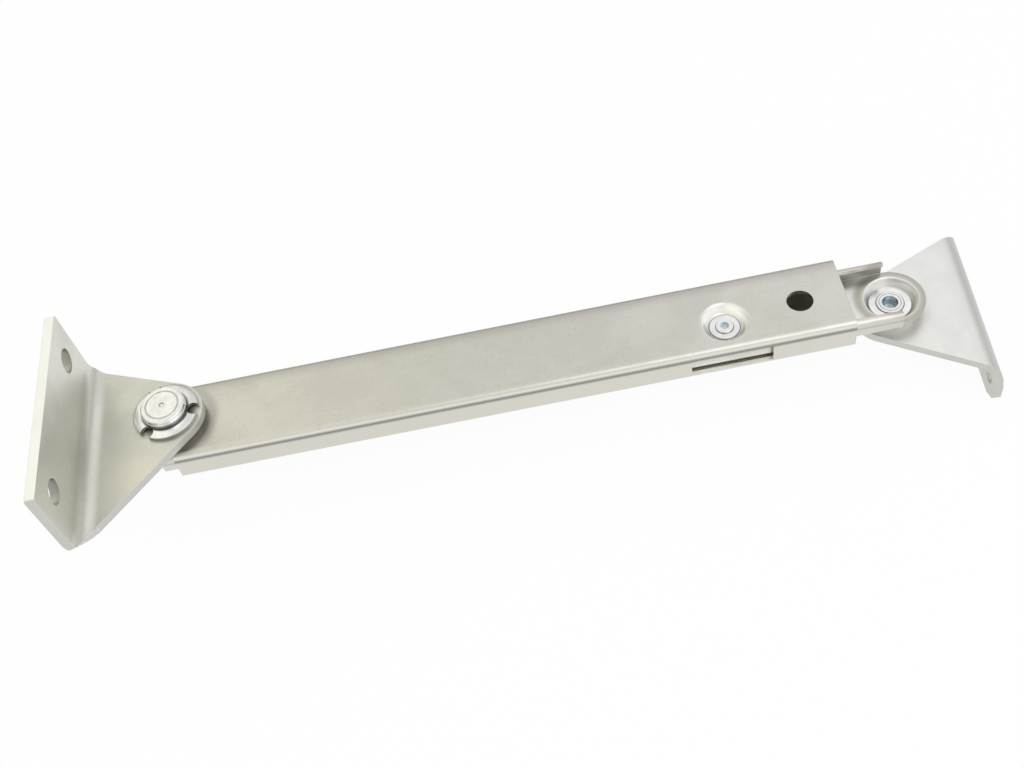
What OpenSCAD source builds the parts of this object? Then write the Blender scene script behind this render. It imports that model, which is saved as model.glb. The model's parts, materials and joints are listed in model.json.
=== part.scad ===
// Telescopic hood support: an inner channel slides in an outer channel, a sprung pawl
// locks it open, and a bracket turns on a rivet at each end. Millimetres.
// The pieces are drawn from the body pivot: X runs along the channels, Z = 0 is the
// outer channel's front face. The part's origin is the middle of the body bolts.

/* [Overall] */
// Distance between the two pivots with the support shut
pivot_span = 250; // [245:1:300]
// Angle at which the hood bracket stands, about Z
hood_angle = -5; // [-30:1:30]

/* [Outer channel] */
// Thickness of the sheet of both channels
sheet = 1.5; // [1.2:0.1:1.7]
// Width over the flanges
outer_w = 30; // [29:0.5:36]
// Outside radius of the folds
fold_r = 2.3; // [2:0.1:3]
// Length of the flanges, from the body pivot to the mouth
outer_l = 233.3; // [226:0.1:235]
// Width of the lips folded in at the back
outer_lip = 5.5; // [4:0.1:6.5]
// Radius of the rounded web ends round the pivots
end_r = 11.6; // [11.3:0.1:12.4]
// Diameter of the plain hole near the mouth
sight_d = 9; // [6:0.5:12]
// Distance from the mouth to that hole
sight_from_mouth = 15.6; // [12:0.1:17]
// Offset of that hole from the centreline
sight_y = -0.9; // [-3:0.1:3]
// Length of the window in the lower flange
window_l = 27.8; // [24:0.1:32]
// Distance from the front face to the window
window_top = 3.4; // [2.9:0.1:5]
// Distance from the back to the window
window_low = 2.2; // [1.6:0.1:3]

/* [Inner channel] */
// Clearance at each side between the channels
side_gap = 0.5; // [0.3:0.05:0.8]
// Clearance between the inner channel's back and the outer lips
back_gap = 0.5; // [0.3:0.05:1]
// Space between the outer web and the inner channel's lips
front_gap = 2; // [1.9:0.1:2.4]
// Width of the inner channel's front lips
inner_lip = 2.5; // [2.3:0.1:2.6]
// Outside radius of the folds at its front lips
lip_fold_r = 2.2; // [1.8:0.1:2.3]
// Outside radius of the folds at its back
web_fold_r = 1.7; // [1.7:0.1:2.4]
// Length of inner channel behind the body pivot
inner_tail = 5.6; // [4:0.1:8]
// Distance from that end to the stud that stops the travel
stud_from_end = 12.4; // [9:0.1:40]
// Radius of the stud
stud_r = 3; // [2.5:0.1:3.5]
// Height of the stud inside the channel
stud_h = 3.4; // [3:0.1:4]
// Length of the notch that the pawl drops through
notch_l = 14; // [10:0.5:20]

/* [Body bracket] */
// Thickness of the body bracket's sheet
body_t = 3.2; // [2.5:0.1:4]
// Distance from the body pivot to the flange's outer face
body_reach = 30.5; // [28:0.5:40]
// Height of the flange over the bracket's plate face
body_height = 35.2; // [32:0.1:45]
// Width of the flange
body_width = 73; // [70:0.5:90]
// Offset of the flange's middle from the pivot
body_offset = -11.9; // [-14:0.1:0]
// Inside radius of the bend
body_bend = 5.5; // [3:0.1:6.5]
// Radius of the rounded end round the pivot
body_end_r = 12.4; // [12:0.1:15]
// Distance by which the plate's long edge would run past the flange's end
body_low_past = 3.1; // [-3:0.1:6]
// Distance by which the plate's short edge would run past the flange's end
body_high_past = 2.3; // [-3:0.1:6]
// Width clipped off the flange's corners
body_clip = 0.8; // [0.2:0.1:4]
// Distance from the flange's ends to the bolt holes
body_bolt_edge = 10.5; // [8:0.1:16]
// Diameter of the bolt holes
body_bolt_d = 8.5; // [6:0.1:9.5]
// Height of the bolt holes over the plate face
body_bolt_h = 23.3; // [21:0.1:26]

/* [Hood bracket] */
// Thickness of the hood bracket's sheet
hood_t = 3; // [2.5:0.1:4]
// Distance from the hood pivot to the flange's outer face
hood_reach = 31; // [28:0.5:40]
// Depth of the flange under the bracket's plate face
hood_height = 16.2; // [15:0.1:25]
// Width of the flange
hood_width = 66.4; // [64:0.5:80]
// Inside radius of the bend
hood_bend = 3.2; // [1:0.1:4]
// Radius of the rounded end round the pivot
hood_end_r = 13.1; // [12:0.1:15]
// Distance by which the plate's edges stop short of the flange's ends
hood_short = 1.1; // [0.5:0.1:4]
// Width clipped off the flange's corners
hood_clip = 4.6; // [0.2:0.1:5]
// Height clipped off those corners, as a share of the width
hood_clip_share = 0.6; // [0.4:0.05:1]
// Distance from the flange's ends to the screw holes
hood_bolt_edge = 5.9; // [5:0.1:12]
// Diameter of the screw holes
hood_bolt_d = 5.5; // [4:0.1:6.5]
// Distance of the screw holes from the plate face
hood_bolt_h = 8.4; // [8:0.1:9.5]

/* [Body pivot] */
// Diameter of the rivet's shank
body_pin_d = 10; // [8:0.5:10.5]
// Diameter of the rivet's head
body_head_d = 15.7; // [14:0.1:17]
// Height of the rivet's head
body_head_h = 3.2; // [2.6:0.1:4]
// Height of the collar under the head's top disc
body_collar_h = 1.4; // [1:0.1:1.8]
// Step from the collar in to the top disc
body_collar_step = 0.3; // [0.2:0.05:0.6]
// Diameter of the ring groove in the head's top
body_groove_d = 11.2; // [9:0.1:12]
// Outside diameter of the notched lock washer
lock_d = 22.6; // [20:0.1:23]
// Height of the lock washer's dome
lock_h = 1.8; // [1.6:0.1:3]
// Thickness of the lock washer
lock_t = 1.1; // [0.9:0.1:1.3]
// Number of notches in the lock washer
lock_notches = 3; // [3:1:6]
// Diameter of those notches
lock_notch_d = 4.4; // [3:0.1:5]
// Height of the raised boss in the outer web
boss_h = 2.2; // [2:0.1:2.8]
// Radius of the boss's flat top
boss_top_r = 8.8; // [8.6:0.1:9]
// Radius of the boss at its foot
boss_rim_r = 10.8; // [10.4:0.1:11]
// Thickness of the washer inside the boss
body_washer_t = 1.1; // [0.8:0.1:1.4]
// Diameter of that washer
body_washer_d = 15.2; // [14:0.1:15.4]
// Diameter of the rivet's tail
body_tail_d = 13; // [12:0.1:13.4]
// Height of the rivet's tail
body_tail_h = 2.2; // [1.6:0.1:2.4]

/* [Hood pivot] */
// Diameter of the rivet's shank
hood_pin_d = 8; // [7:0.5:9]
// Width of the rivet's rolled end past the shank
hood_roll = 0.6; // [0.5:0.1:1]
// Height of the rolled end
hood_roll_h = 0.5; // [0.4:0.1:1.2]
// Diameter of the hollow in the rivet's end
hood_hollow_d = 5.4; // [4:0.1:6]
// Depth of that hollow
hood_hollow_h = 3; // [2:0.1:6]
// Depth of the recess round the pivot
hood_dish_h = 3.4; // [3:0.1:4]
// Radius of that recess's flat floor
hood_floor_r = 7.3; // [7.2:0.1:7.6]
// Radius of that recess at its rim
hood_rim_r = 9.4; // [9:0.1:10]
// Diameter of the washer in the recess
hood_washer_d = 14.2; // [12:0.1:14.4]
// Thickness of that washer
hood_washer_t = 0.6; // [0.5:0.1:1.2]
// Thickness of the thrust washer behind the recess
hood_thrust_t = 0.7; // [0.5:0.1:1.2]
// Diameter of the rivet's tail
hood_tail_d = 13; // [11:0.1:14]
// Height of the rivet's tail
hood_tail_h = 2.4; // [1.6:0.1:3]

/* [Lock] */
// Distance from the mouth to the pawl's pivot
pawl_from_mouth = 42; // [38:0.1:46]
// Offset of the pawl's pivot from the centreline
pawl_y = -3.4; // [-3.5:0.1:-2.5]
// Depth of the recess round the pawl's rivet
pawl_dish_h = 3.2; // [2.8:0.1:3.2]
// Radius of that recess's flat floor
pawl_floor_r = 5.4; // [5.3:0.1:5.6]
// Radius of that recess at its rim
pawl_rim_r = 8.5; // [8.2:0.1:8.6]
// Diameter of the washer in that recess
pawl_washer_d = 10.1; // [8.6:0.1:10.4]
// Thickness of that washer
pawl_washer_t = 0.4; // [0.4:0.1:1]
// Diameter of the pawl rivet's shank
pawl_pin_d = 4.6; // [4:0.1:5]
// Diameter of the pawl rivet's head
pawl_head_d = 5.9; // [5.6:0.1:7]
// Height of the pawl rivet's head
pawl_head_h = 0.7; // [0.5:0.1:1]
// Diameter of the six-lobed socket in that head
pawl_socket_d = 3; // [2.4:0.1:3.4]
// Depth of that socket
pawl_socket_h = 1; // [0.8:0.1:1.4]
// Height of the pawl rivet's tail
pawl_tail_h = 0.7; // [0.6:0.1:1]
// Diameter of the pawl rivet's tail
pawl_tail_d = 8; // [7:0.1:9]
// Thickness of the pawl
pawl_t = 1.8; // [1.6:0.1:2.2]
// Distance from the pawl's pivot to the middle of its nose
pawl_arm = 13; // [12:0.1:14]
// Radius of the pawl's boss
pawl_boss_r = 5.2; // [5:0.1:5.6]
// Radius of the pawl's nose
pawl_nose_r = 1.8; // [1.5:0.1:2]
// Height of the space for the spring's coil
spring_h = 1.7; // [1.5:0.05:2]
// Diameter of the spring's wire
wire_d = 0.45; // [0.4:0.01:0.46]
// Mean radius of the spring's coil
coil_r = 3.3; // [3.2:0.05:3.6]

/* [Hidden] */
$fn = 64;

zinc = [0.80, 0.79, 0.76];
bright_zinc = [0.86, 0.87, 0.88];
spring_steel = [0.52, 0.53, 0.55];

// Clearances: running fit on a shank, play between faces, room between passing pieces
run = 0.05;
play = 0.1;
room = 0.3;
// Overshoot of cutters past the faces they cut
over = 1;
// Steps across the drawn wall of a pressed recess
dish_steps = 14;

// Width by which the underside of a pressed wall stands off, for an even sheet
press = 0.9;
// Inset of a bracket's straight edges, so that they cross its round end cleanly
cross = 0.02;
// Rounding of rivet rims
rim_edge = 0.6;
fine_edge = 0.3;

// The outer channel is as deep as what it carries, from the pawl's recess to its lips
outer_h = pawl_dish_h + 3 * sheet + spring_h + pawl_t + play + pawl_tail_h + room + back_gap;

// Levels of the two channels, downwards from the outer channel's front face
inner_w = outer_w - 2 * (sheet + side_gap);
inner_front = -(sheet + front_gap);
inner_back = -(outer_h - sheet - back_gap);
inner_h = inner_front - inner_back;
inner_floor = inner_back + sheet;
inner_side = inner_w / 2 - sheet;

// Levels at the body pivot, upwards
body_plate = boss_h + play;
lock_base = body_plate + body_t;
head_base = lock_base + lock_h;
boss_back = boss_h - sheet;

// Levels at the hood pivot, downwards
hood_dish_floor = inner_floor - hood_dish_h;
hood_dish_back = hood_dish_floor - sheet;
hood_thrust_d = 2 * hood_floor_r + press;
hood_plate = hood_dish_back - hood_thrust_t - play;

// Levels of the lock, downwards
pawl_x = outer_l - pawl_from_mouth;
pawl_dish_back = -(pawl_dish_h + sheet);
pawl_tail_base = inner_floor + room;
pawl_base = pawl_tail_base + pawl_tail_h + play;
pawl_top = pawl_base + pawl_t;
pawl_head_base = pawl_washer_t - pawl_dish_h;

// The inner channel travels until the stud meets the pawl's boss
stud_x = stud_from_end - inner_tail;
stud_back_h = 0.8;
travel = pawl_x - pawl_boss_r - stud_r - room - stud_x;

// The nose rests just clear of the inside of the inner channel's lower flange, and drops
// through it at full travel
nose_drop = pawl_y + inner_side - room - pawl_nose_r;
pawl_angle = -asin(nose_drop / pawl_arm);
lock_drop = pawl_y + outer_w / 2 + sheet / 2 - pawl_nose_r;
nose_lock_x = sqrt(pow(pawl_arm, 2) - pow(lock_drop, 2));
notch_h = pawl_t + 2 * room + over;
notch_end = pawl_x + nose_lock_x + pawl_nose_r + room - travel;
notch_mid = (pawl_base + pawl_top) / 2;

// The spring winds clockwise from a leg on the inner channel's upper flange to the post
post_r = 0.9;
post_along = 7.5;
post_across = coil_r - wire_d / 2 - post_r - 0.02;
leg_angle = 125;
leg_start = leg_angle - 90 + 720;
leg_end = pawl_angle + 90;
leg_length = (inner_side - room - wire_d / 2 - pawl_y - coil_r * sin(leg_start)) / sin(leg_angle);
post_leg_length = post_along + 2.4;
coil_steps = 34;
wire_sides = 8;

// Where the part's origin lies, seen from the body pivot
origin = [-body_reach, body_offset, body_plate + body_bolt_h];

module from_body_pivot() { translate(-origin) children(); }

module from_hood_pivot() { from_body_pivot() translate([pivot_span, 0, 0]) children(); }

module from_pawl_pivot() { from_body_pivot() translate([pawl_x, pawl_y, 0]) children(); }

// Flat outlines

// Rectangle below the X axis, with one radius at its top corners and one at its low corners
module rounded_rect(w, h, top_r, low_r) {
  translate([-w / 2, low_r - h]) square([w, h - top_r - low_r]);
  translate([top_r - w / 2, low_r - h]) square([w - 2 * top_r, h - low_r]);
  translate([low_r - w / 2, -h]) square([w - 2 * low_r, h - top_r]);
  for (side = [-1, 1]) {
    translate([side * (w / 2 - top_r), -top_r]) circle(top_r);
    translate([side * (w / 2 - low_r), low_r - h]) circle(low_r);
  }
}

// Section of a channel: width along X, closed side up, lips turned in at the bottom
module channel_section(w, h, web_r, lip_r, lip) {
  difference() {
    rounded_rect(w, h, web_r, lip_r);
    translate([0, -sheet]) rounded_rect(w - 2 * sheet, h - 2 * sheet, web_r - sheet, lip_r - sheet);
    translate([0, -h]) square([w - 2 * lip, 2 * sheet + over], center = true);
  }
}

// Profile of a bent bracket: plate on the X axis, flange up at x = -reach
module bracket_profile(t, reach, height, bend, end_r) {
  outer_r = bend + t;
  translate([outer_r - reach, 0]) square([reach - outer_r + end_r + over, t]);
  translate([-reach, outer_r]) square([t, height - outer_r]);
  translate([outer_r - reach, outer_r]) difference() {
    circle(outer_r);
    circle(bend);
    translate([-outer_r - over, 0]) square([2 * (outer_r + over), outer_r + over]);
    translate([0, -outer_r - over]) square([outer_r + over, 2 * (outer_r + over)]);
  }
}

// Plate outline: round end about the pivot and a straight edge at each slope, to the bend
module tongue_outline(r, bend_x, low_slope, high_slope) {
  edge_r = r - cross;
  circle(r);
  polygon([[-bend_x, edge_r / cos(high_slope) + bend_x * tan(high_slope)],
           [-bend_x, -edge_r / cos(low_slope) - bend_x * tan(low_slope)],
           edge_r * [sin(low_slope), -cos(low_slope)], edge_r * [sin(high_slope), cos(high_slope)]]);
}

// Sheet parts

// Slope of a straight edge that touches a circle of radius r and reaches w at a distance
function edge_slope(distance, r, w) = acos(r / norm([distance, w])) - atan2(distance, w);

// Solid round the bend whose two sides widen with the slopes, as the flat sheet did
module bend_keep(bend_x, outer_r, bend, start, grow, past) {
  steps = 8;
  near = bend / 2;
  far = outer_r + over;
  points = [for (i = [0:steps])
    let (s = i / steps, a = 90 * s,
         low = max(-start[0] - grow[0] * s, past[0]), high = min(start[1] + grow[1] * s, past[1]))
      each [for (q = [[near, low], [near, high], [far, high], [far, low]])
        [-bend_x - q[0] * sin(a), q[1], outer_r - q[0] * cos(a)]]];
  sides = [for (i = [0:steps - 1], k = [0:3])
    let (n = (k + 1) % 4, p = 4 * i)
      each [[p + k, p + 4 + n, p + n], [p + k, p + 4 + k, p + 4 + n]]];
  polyhedron(points, concat([[0, 1, 2, 3]], sides, [[for (k = [3:-1:0]) 4 * steps + k]]));
}

// Bracket with its plate's lower face at Z = 0 and its flange turned up at x = -reach
module bracket(t, reach, height, bend, end_r, most, edge_past, clip, clip_h) {
  outer_r = bend + t;
  bend_x = reach - outer_r;
  arc = (bend + t / 2) * PI / 2;
  slopes = [for (i = [0, 1]) edge_slope(bend_x + arc, end_r - cross, abs(most[i]) + edge_past[i])];
  start = [for (a = slopes) (end_r - cross) / cos(a) + bend_x * tan(a)];
  grow = [for (a = slopes) tan(a) * arc];
  // The sides run past the flange's ends, and its own ends cut them
  past = [most[0] - over, most[1] + over];
  end = [max(-start[0] - grow[0], past[0]), min(start[1] + grow[1], past[1])];
  clip_z = height - clip_h - over * clip_h / clip;
  full = [for (i = [0, 1]) min(outer_r + abs(past[i] - end[i]) / tan(slopes[i]), clip_z)];
  clip_y = clip + over * clip / clip_h;
  intersection() {
    translate([0, most[1], 0]) rotate([90, 0, 0]) linear_extrude(most[1] - most[0])
      bracket_profile(t, reach, height, bend, end_r);
    union() {
      translate([0, 0, -over]) linear_extrude(t + 2 * over)
        tongue_outline(end_r, bend_x, slopes[0], slopes[1]);
      bend_keep(bend_x, outer_r, bend, start, grow, past);
      translate([-reach - over, 0, 0]) rotate([90, 0, 90]) linear_extrude(t + 2 * over)
        polygon([[end[1], outer_r], [past[1], full[1]], [past[1], clip_z],
                 [most[1] - clip_y, height + over], [most[0] + clip_y, height + over],
                 [past[0], clip_z], [past[0], full[0]], [end[0], outer_r]]);
    }
  }
}

// Revolved wall of a recess pressed to a depth, or of a boss if the depth is negative
module pressed_dish(rim_r, floor_r, depth, hole_r, spread) {
  wall = [for (i = [0:dish_steps])
    let (s = i / dish_steps)
      [floor_r + (rim_r - floor_r) * s, -depth * (1 + cos(180 * s)) / 2]];
  under = [for (i = [dish_steps:-1:0]) wall[i] + [spread, -sheet]];
  rotate_extrude() polygon(concat([[hole_r, -depth]], wall, under, [[hole_r, -depth - sheet]]));
}

module disc(d, h, hole_d) {
  difference() {
    cylinder(d = d, h = h);
    translate([0, 0, -over]) cylinder(d = hole_d, h = h + 2 * over);
  }
}

// Rivet head with a rounded rim, its seat at Z = 0
module rivet_head(d, h, edge) {
  rotate_extrude() {
    square([d / 2 - edge, h]);
    square([d / 2, h - edge]);
    translate([d / 2 - edge, h - edge]) circle(edge);
  }
}

// Body pivot

module body_bracket() {
  most = [body_offset - body_width / 2, body_offset + body_width / 2];
  color(zinc) from_body_pivot() translate([0, 0, body_plate]) difference() {
    bracket(body_t, body_reach, body_height, body_bend, body_end_r, most,
            [body_low_past, body_high_past], body_clip, body_clip);
    translate([0, 0, -over]) cylinder(d = body_pin_d, h = body_t + 2 * over);
    for (y = [most[0] + body_bolt_edge, most[1] - body_bolt_edge])
      translate([-body_reach - over, y, body_bolt_h])
        rotate([0, 90, 0]) cylinder(d = body_bolt_d, h = body_t + 2 * over);
  }
}

module body_pivot_rivet() {
  groove_w = 0.5;
  mark_h = 0.3;
  pip_d = 1.6;
  top = head_base + body_head_h;
  tail = boss_back - body_washer_t;
  color(bright_zinc) from_body_pivot() difference() {
    union() {
      translate([0, 0, head_base]) rivet_head(body_head_d, body_collar_h, fine_edge);
      translate([0, 0, head_base]) rivet_head(body_head_d - 2 * body_collar_step, body_head_h, rim_edge);
      translate([0, 0, tail]) cylinder(d = body_pin_d, h = head_base - tail);
      translate([0, 0, tail]) mirror([0, 0, 1]) rivet_head(body_tail_d, body_tail_h, rim_edge);
    }
    translate([0, 0, top - mark_h])
      disc(body_groove_d + groove_w, mark_h + over, body_groove_d - groove_w);
    translate([0, 0, top - mark_h]) cylinder(d = pip_d, h = mark_h + over);
  }
}

module notched_lock_washer() {
  rim_r = lock_d / 2;
  top_r = body_head_d / 2 - rim_edge;
  inner_r = top_r - lock_t / 2;
  notch_at = rim_r - lock_notch_d / 3;
  first_notch = -128;
  outside = [for (i = [0:dish_steps])
    let (a = 90 * i / dish_steps) [top_r + (rim_r - top_r) * sin(a), lock_t + (lock_h - lock_t) * cos(a)]];
  inside = [for (i = [dish_steps:-1:0])
    let (a = 90 * i / dish_steps)
      [inner_r + (rim_r - lock_t - inner_r) * sin(a), (lock_h - lock_t) * cos(a)]];
  color(bright_zinc) from_body_pivot() translate([0, 0, lock_base]) difference() {
    rotate_extrude() polygon(concat([[body_pin_d / 2, lock_h]], outside, [[rim_r, 0]], inside,
                                    [[body_pin_d / 2, lock_h - lock_t]]));
    for (i = [0:lock_notches - 1])
      rotate(first_notch + 360 * i / lock_notches)
        translate([notch_at, 0, -over]) cylinder(d = lock_notch_d, h = lock_h + 2 * over);
  }
}

module body_tail_washer() {
  color(bright_zinc) from_body_pivot() translate([0, 0, boss_back - body_washer_t])
    disc(body_washer_d, body_washer_t - play, body_pin_d);
}

// Channels

module outer_channel() {
  tongue_l = over;
  color(zinc) from_body_pivot() {
    difference() {
      union() {
        rotate([90, 0, 90]) linear_extrude(outer_l)
          channel_section(outer_w, outer_h, fold_r, fold_r, outer_lip);
        translate([0, 0, -sheet]) linear_extrude(sheet) {
          circle(end_r);
          translate([0, -end_r]) square([tongue_l, 2 * end_r]);
        }
      }
      translate([0, 0, -sheet - over]) cylinder(r = boss_rim_r - press, h = sheet + 2 * over);
      translate([pawl_x, pawl_y, -sheet - over]) cylinder(r = pawl_rim_r, h = sheet + 2 * over);
      translate([outer_l - sight_from_mouth, sight_y, -sheet - over])
        cylinder(d = sight_d, h = sheet + 2 * over);
      translate([pawl_x - window_l / 2, -outer_w / 2 - over, window_low - outer_h])
        cube([window_l, sheet + 2 * over, outer_h - window_low - window_top]);
    }
    pressed_dish(boss_rim_r, boss_top_r, -boss_h, body_pin_d / 2 + run, -press);
    translate([pawl_x, pawl_y, 0])
      pressed_dish(pawl_rim_r, pawl_floor_r, pawl_dish_h, pawl_pin_d / 2, 0);
  }
}

module inner_channel() {
  color(zinc) from_body_pivot() {
    difference() {
      union() {
        translate([-inner_tail, 0, inner_back]) rotate([90, 0, 90]) linear_extrude(pivot_span + inner_tail)
          mirror([0, 1]) channel_section(inner_w, inner_h, web_fold_r, lip_fold_r, inner_lip);
        translate([pivot_span, 0, inner_back]) linear_extrude(sheet) {
          circle(end_r);
          translate([-over, -end_r]) square([over, 2 * end_r]);
        }
      }
      translate([pivot_span, 0, inner_back - over]) cylinder(r = hood_rim_r, h = sheet + 2 * over);
      translate([notch_end - notch_l, -inner_w / 2 - over, notch_mid - notch_h / 2])
        cube([notch_l, sheet + 2 * over, notch_h]);
      translate([stud_x, pawl_y, inner_back - over]) cylinder(d = stud_r, h = sheet + 2 * over);
    }
    translate([pivot_span, 0, inner_floor])
      pressed_dish(hood_rim_r, hood_floor_r, hood_dish_h, hood_pin_d / 2, press);
  }
}

// Stud that meets the pawl's boss at full travel
module end_stop_stud() {
  color(bright_zinc) from_body_pivot() translate([stud_x, pawl_y, 0]) {
    translate([0, 0, inner_floor]) rivet_head(2 * stud_r, stud_h, rim_edge);
    translate([0, 0, inner_back]) cylinder(d = stud_r, h = sheet);
    translate([0, 0, inner_back]) mirror([0, 0, 1]) rivet_head(2 * stud_r, stud_back_h, rim_edge);
  }
}

// Lock

module pawl_rivet() {
  lobe_r = pawl_socket_d / 6;
  color(bright_zinc) from_pawl_pivot() difference() {
    union() {
      translate([0, 0, pawl_head_base]) rivet_head(pawl_head_d, pawl_head_h, fine_edge);
      translate([0, 0, pawl_tail_base]) cylinder(d = pawl_pin_d, h = pawl_head_base - pawl_tail_base);
      translate([0, 0, pawl_tail_base + pawl_tail_h]) mirror([0, 0, 1])
        rivet_head(pawl_tail_d, pawl_tail_h, fine_edge);
    }
    translate([0, 0, pawl_head_base + pawl_head_h - pawl_socket_h]) {
      cylinder(r = pawl_socket_d / 2 - lobe_r, h = pawl_socket_h + over);
      for (i = [0:5])
        rotate(60 * i) translate([pawl_socket_d / 2 - lobe_r, 0, 0])
          cylinder(r = lobe_r, h = pawl_socket_h + over);
    }
  }
}

module pawl_rivet_washer() {
  color(bright_zinc) from_pawl_pivot() translate([0, 0, -pawl_dish_h])
    disc(pawl_washer_d, pawl_washer_t, pawl_pin_d);
}

module lock_pawl() {
  flank = acos((pawl_boss_r - pawl_nose_r) / pawl_arm);
  color(zinc) from_pawl_pivot() rotate(pawl_angle) {
    translate([0, 0, pawl_base]) linear_extrude(pawl_t) difference() {
      union() {
        circle(pawl_boss_r);
        translate([pawl_arm, 0]) circle(pawl_nose_r);
        polygon([for (side = [1, -1], end = side > 0 ? [0, 1] : [1, 0])
          [end * pawl_arm, 0]
            + (end > 0 ? pawl_nose_r : pawl_boss_r) * [cos(flank), side * sin(flank)]]);
      }
      circle(pawl_pin_d / 2 + run);
    }
    translate([post_along, post_across, pawl_top]) cylinder(r = post_r, h = spring_h - play);
  }
}

// Ring of points round a wire at p, with the wire running along the flat direction t
function wire_ring(p, t) =
  [for (k = [0:wire_sides - 1])
    let (a = 360 * k / wire_sides)
      p + wire_d / 2 * (cos(a) * [t[1], -t[0], 0] + sin(a) * [0, 0, 1])];

module pawl_spring() {
  low = pawl_top + play / 2 + wire_d / 2;
  high = pawl_dish_back - play / 2 - wire_d / 2;
  ends = [[cos(leg_angle), sin(leg_angle), 0], [cos(pawl_angle), sin(pawl_angle), 0]];
  coil = [for (i = [0:coil_steps])
    let (s = i / coil_steps, a = leg_start + (leg_end - leg_start) * s)
      [[coil_r * cos(a), coil_r * sin(a), low + (high - low) * s], [sin(a), -cos(a), 0]]];
  path = concat([[coil[0][0] + leg_length * ends[0], -ends[0]]], coil,
                [[coil[coil_steps][0] + post_leg_length * ends[1], ends[1]]]);
  rings = len(path);
  points = [for (q = path) each wire_ring(q[0], q[1])];
  sides = [for (i = [0:rings - 2], k = [0:wire_sides - 1])
    let (n = (k + 1) % wire_sides)
      [i * wire_sides + k, i * wire_sides + n, (i + 1) * wire_sides + n, (i + 1) * wire_sides + k]];
  first = [for (k = [wire_sides - 1:-1:0]) k];
  last = [for (k = [0:wire_sides - 1]) (rings - 1) * wire_sides + k];
  color(spring_steel) from_pawl_pivot() polyhedron(points, concat([first], sides, [last]));
}

// Hood pivot

module hood_pivot_rivet() {
  roll_base = hood_dish_floor + hood_washer_t;
  tail_top = hood_plate - hood_t - play;
  color(bright_zinc) from_hood_pivot() difference() {
    union() {
      translate([0, 0, roll_base]) rivet_head(hood_pin_d + 2 * hood_roll, hood_roll_h, fine_edge);
      translate([0, 0, tail_top]) cylinder(d = hood_pin_d, h = roll_base - tail_top);
      translate([0, 0, tail_top]) mirror([0, 0, 1]) rivet_head(hood_tail_d, hood_tail_h, rim_edge);
    }
    translate([0, 0, roll_base + hood_roll_h - hood_hollow_h])
      cylinder(d = hood_hollow_d, h = hood_hollow_h + over);
  }
}

module hood_rivet_washer() {
  color(bright_zinc) from_hood_pivot() translate([0, 0, hood_dish_floor])
    disc(hood_washer_d, hood_washer_t, hood_pin_d);
}

module hood_thrust_washer() {
  color(zinc) from_hood_pivot() translate([0, 0, hood_dish_back - hood_thrust_t])
    disc(hood_thrust_d, hood_thrust_t, hood_pin_d);
}

module hood_bracket() {
  half = hood_width / 2;
  color(zinc) from_hood_pivot() rotate(hood_angle) translate([0, 0, hood_plate]) rotate([0, 180, 0])
    difference() {
      bracket(hood_t, hood_reach, hood_height, hood_bend, hood_end_r, [-half, half],
              [-hood_short, -hood_short], hood_clip, hood_clip * hood_clip_share);
      translate([0, 0, -over]) cylinder(d = hood_pin_d + 2 * run, h = hood_t + 2 * over);
      for (side = [-1, 1])
        translate([-hood_reach - over, side * (half - hood_bolt_edge), hood_bolt_h])
          rotate([0, 90, 0]) cylinder(d = hood_bolt_d, h = hood_t + 2 * over);
    }
}

body_bracket();
body_pivot_rivet();
notched_lock_washer();
body_tail_washer();
outer_channel();
pawl_rivet();
pawl_rivet_washer();
lock_pawl();
pawl_spring();
inner_channel();
end_stop_stud();
hood_pivot_rivet();
hood_rivet_washer();
hood_thrust_washer();
hood_bracket();
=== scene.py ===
"""Finishes and studio for a telescopic hood support: zinc-plated channels, brackets and rivets."""

import json
import math

import bmesh
import bpy
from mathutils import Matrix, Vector


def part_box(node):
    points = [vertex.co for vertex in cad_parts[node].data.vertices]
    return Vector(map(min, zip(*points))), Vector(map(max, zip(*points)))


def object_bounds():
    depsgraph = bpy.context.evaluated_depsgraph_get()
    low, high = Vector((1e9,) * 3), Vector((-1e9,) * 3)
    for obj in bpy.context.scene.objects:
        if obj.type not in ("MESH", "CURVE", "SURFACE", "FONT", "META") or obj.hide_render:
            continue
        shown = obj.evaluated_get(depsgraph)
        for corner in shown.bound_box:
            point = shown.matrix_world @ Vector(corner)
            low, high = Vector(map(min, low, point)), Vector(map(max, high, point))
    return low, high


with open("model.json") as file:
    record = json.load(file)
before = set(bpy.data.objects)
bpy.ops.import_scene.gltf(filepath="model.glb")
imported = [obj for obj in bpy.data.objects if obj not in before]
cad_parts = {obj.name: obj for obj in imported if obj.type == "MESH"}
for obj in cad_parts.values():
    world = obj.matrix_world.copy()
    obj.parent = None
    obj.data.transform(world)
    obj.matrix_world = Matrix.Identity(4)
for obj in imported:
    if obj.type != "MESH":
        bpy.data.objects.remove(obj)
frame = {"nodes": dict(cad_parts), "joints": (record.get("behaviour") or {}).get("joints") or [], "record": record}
CAD_BOX = [list(corner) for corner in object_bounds()]
JOINTS = {joint["name"]: joint for joint in frame["joints"]}
MOUNTS = {mount["name"]: mount for mount in frame["record"]["mounts"]}
BODY_PIVOT = Vector(JOINTS["body_pivot"]["pos_m"])
MM_PER_M = 1000

# Directions
UP = (0.0, 0.0, 1.0)
FRONT = (0.0, -1.0, 0.0)
LEFT = (-1.0, 0.0, 0.0)
RIGHT = (1.0, 0.0, 0.0)
BACK_RIGHT = (0.8, 0.6, 0.0)
ACROSS = (0.0, 1.0, 0.0)
# Factors that leave the part of a place that is square to an axis
SQUARE_TO_X = (0.0, 1.0, 1.0)
SQUARE_TO_Z = (1.0, 1.0, 0.0)
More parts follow.
